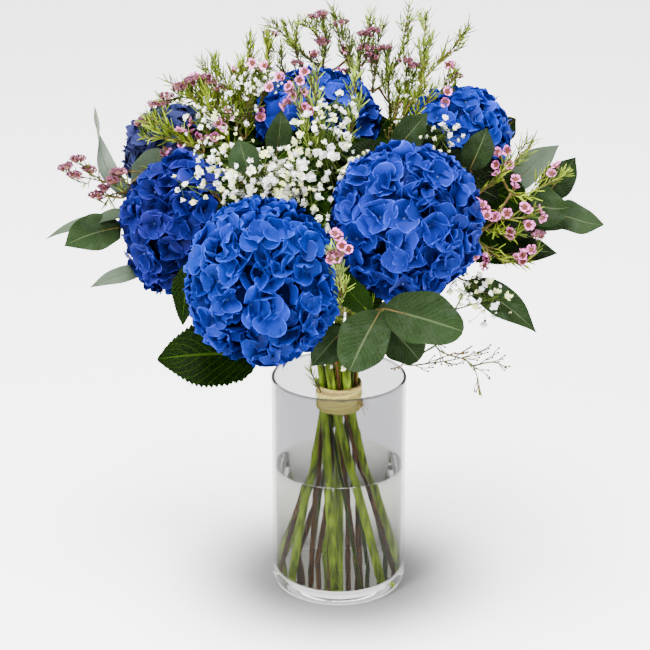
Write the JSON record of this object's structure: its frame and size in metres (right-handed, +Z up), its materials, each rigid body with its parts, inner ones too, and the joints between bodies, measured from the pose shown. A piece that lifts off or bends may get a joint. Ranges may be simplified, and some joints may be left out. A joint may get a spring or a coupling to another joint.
{
  "type": "hydrangea bouquet in a glass vase",
  "caption": "Bouquet of blue hydrangeas with eucalyptus, waxflower and gypsophila, tied with raffia and standing in water in a straight clear glass vase.",
  "frame": {"origin": "centre of the vase's flat base, on the surface that it stands on", "axes": "+Z up; the front of the bouquet, with its two largest heads, faces -Y; +X is to the right seen from the front"},
  "size_m": [0.487, 0.3193, 0.517],
  "materials": {
    "glass": "clear polished soda glass, thick base",
    "water": null,
    "raffia": "dry straw-coloured plant fibre, matt",
    "hydrangea_petal": "soft matt petal, blue with paler edges",
    "hydrangea_green": "fresh green stem and leaf, slightly waxy",
    "eucalyptus_leaf": "grey-green leaf with a dull bloom, woody stem",
    "waxflower": "dusty pink waxy petals on olive needled twigs",
    "gypsophila": "creamy white matt florets on thin green twigs"
  },
  "bodies": {
    "root": {"vase": "glass", "water": "water", "raffia_tie": "raffia", "hydrangea_head_front_left": "hydrangea_petal", "hydrangea_head_front_right": "hydrangea_petal", "hydrangea_head_left": "hydrangea_petal", "hydrangea_head_back_left": "hydrangea_petal", "hydrangea_head_top": "hydrangea_petal", "hydrangea_head_right": "hydrangea_petal", "hydrangea_head_back": "hydrangea_petal", "hydrangea_stem_front_left": "hydrangea_green", "hydrangea_stem_front_right": "hydrangea_green", "hydrangea_stem_left": "hydrangea_green", "hydrangea_stem_back_left": "hydrangea_green", "hydrangea_stem_top": "hydrangea_green", "hydrangea_stem_right": "hydrangea_green", "hydrangea_stem_back": "hydrangea_green", "eucalyptus_left": "eucalyptus_leaf", "eucalyptus_front": "eucalyptus_leaf", "eucalyptus_right": "eucalyptus_leaf", "eucalyptus_top": "eucalyptus_leaf", "eucalyptus_back": "eucalyptus_leaf", "waxflower_left": "waxflower", "waxflower_top": "waxflower", "waxflower_right": "waxflower", "waxflower_front": "waxflower", "gypsophila_left": "gypsophila", "gypsophila_middle": "gypsophila", "gypsophila_top": "gypsophila", "gypsophila_right": "gypsophila"}
  },
  "joints": []
}
